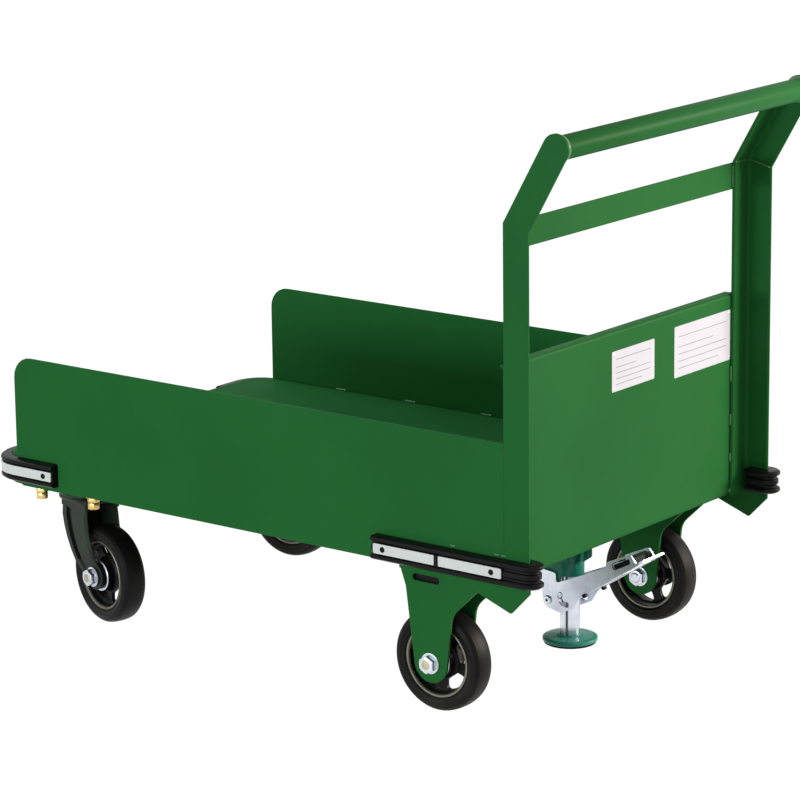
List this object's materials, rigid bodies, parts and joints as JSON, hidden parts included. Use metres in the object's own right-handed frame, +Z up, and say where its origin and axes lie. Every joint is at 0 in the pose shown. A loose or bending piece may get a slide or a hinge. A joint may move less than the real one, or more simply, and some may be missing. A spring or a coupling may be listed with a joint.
{
  "type": "platform truck with side panels",
  "caption": "Green steel platform truck with fixed side and end panels, an angle-iron push handle, swivel and fixed casters, rubber corner bumpers and a foot-operated floor lock.",
  "frame": {"origin": "on the floor under the middle of the outline", "axes": "+X to the handle end, +Y to the right of the person pushing, +Z up"},
  "size_m": [1.0212, 0.6126, 0.8073],
  "materials": {
    "green_paint": "semi-gloss green enamel on sheet steel",
    "fork_paint": "dark olive-black satin enamel on pressed steel",
    "wheel_paint": "black enamel on a cast wheel centre",
    "lock_paint": "blue-green enamel on cast iron",
    "zinc": "bright zinc plate",
    "tyre_rubber": "matt black solid rubber",
    "bumper_rubber": "black extruded rubber",
    "strip_white": "white plastic strip"
  },
  "bodies": {
    "chassis": {"axle_nut_rear_left": "zinc", "axle_nut_rear_right": "zinc", "axle_rear_left": "zinc", "axle_rear_right": "zinc", "ball_race_left": "fork_paint", "ball_race_right": "fork_paint", "cross_bar": "green_paint", "deck": "green_paint", "end_panel": "green_paint", "fixed_bracket_left": "green_paint", "fixed_bracket_right": "green_paint", "foot_plate_left": "green_paint", "foot_plate_right": "green_paint", "front_beam": "green_paint", "front_bumper_left": "bumper_rubber", "front_bumper_right": "bumper_rubber", "front_strip_left": "strip_white", "front_strip_right": "strip_white", "handle_bar": "green_paint", "kingpin_left": "zinc", "kingpin_right": "zinc", "lock_body": "lock_paint", "pedal_pin": "zinc", "pedal_spring": "zinc", "rear_beam": "green_paint", "rear_bumper_left": "bumper_rubber", "rear_bumper_right": "bumper_rubber", "rear_strip_left_1": "strip_white", "rear_strip_left_2": "strip_white", "rear_strip_right_1": "strip_white", "rear_strip_right_2": "strip_white", "side_panel_left": "green_paint", "side_panel_right": "green_paint", "swivel_plate_left": "fork_paint", "swivel_plate_right": "fork_paint", "upright_left": "green_paint", "upright_right": "green_paint"},
    "swivel_left": {"fork_left": "fork_paint", "axle_front_left": "zinc", "axle_nut_front_left": "zinc"},
    "swivel_right": {"fork_right": "fork_paint", "axle_front_right": "zinc", "axle_nut_front_right": "zinc"},
    "wheel_front_left": {"tyre_front_left": "tyre_rubber", "wheel_core_front_left": "wheel_paint", "wheel_bush_front_left": "zinc"},
    "wheel_front_right": {"tyre_front_right": "tyre_rubber", "wheel_core_front_right": "wheel_paint", "wheel_bush_front_right": "zinc"},
    "wheel_rear_left": {"tyre_rear_left": "tyre_rubber", "wheel_core_rear_left": "wheel_paint", "wheel_bush_rear_left": "zinc"},
    "wheel_rear_right": {"tyre_rear_right": "tyre_rubber", "wheel_core_rear_right": "wheel_paint", "wheel_bush_rear_right": "zinc"},
    "pedal": {"lock_pedal": "zinc"},
    "lock_post": {"lock_post": "zinc", "lock_pin": "zinc", "pad_cup": "lock_paint", "pad_rubber": "tyre_rubber"}
  },
  "joints": [
    {"name": "swivel_left_turn", "type": "hinge", "parent": "chassis", "child": "swivel_left", "pos_m": [-0.40321, -0.2016, 0.178], "axis": [0, 0, 1], "continuous": true},
    {"name": "wheel_front_left_spin", "type": "hinge", "parent": "swivel_left", "child": "wheel_front_left", "pos_m": [-0.35685, -0.21402, 0.071], "axis": [0.2588, 0.9659, 0], "continuous": true},
    {"name": "wheel_rear_left_spin", "type": "hinge", "parent": "chassis", "child": "wheel_rear_left", "pos_m": [0.27719, -0.249, 0.071], "axis": [0, 1, 0], "continuous": true},
    {"name": "swivel_right_turn", "type": "hinge", "parent": "chassis", "child": "swivel_right", "pos_m": [-0.40321, 0.2016, 0.178], "axis": [0, 0, 1], "continuous": true},
    {"name": "wheel_front_right_spin", "type": "hinge", "parent": "swivel_right", "child": "wheel_front_right", "pos_m": [-0.35547, 0.20662, 0.071], "axis": [-0.1045, 0.9945, 0], "continuous": true},
    {"name": "wheel_rear_right_spin", "type": "hinge", "parent": "chassis", "child": "wheel_rear_right", "pos_m": [0.27719, 0.249, 0.071], "axis": [0, 1, 0], "continuous": true},
    {"name": "pedal_turn", "type": "hinge", "parent": "chassis", "child": "pedal", "pos_m": [0.28819, 0, 0.0982], "axis": [0, 1, 0], "range_deg": [0, 45.3], "stiffness_Nm_per_rad": 2.5, "springref_deg": -57.3},
    {"name": "post_slide", "type": "slide", "parent": "chassis", "child": "lock_post", "axis": [0, 0, -1], "range_m": [0, 0.035]}
  ],
  "couplings": [
    {"joint": "post_slide", "follows": "pedal_turn", "m_per_rad": 0.044217}
  ]
}
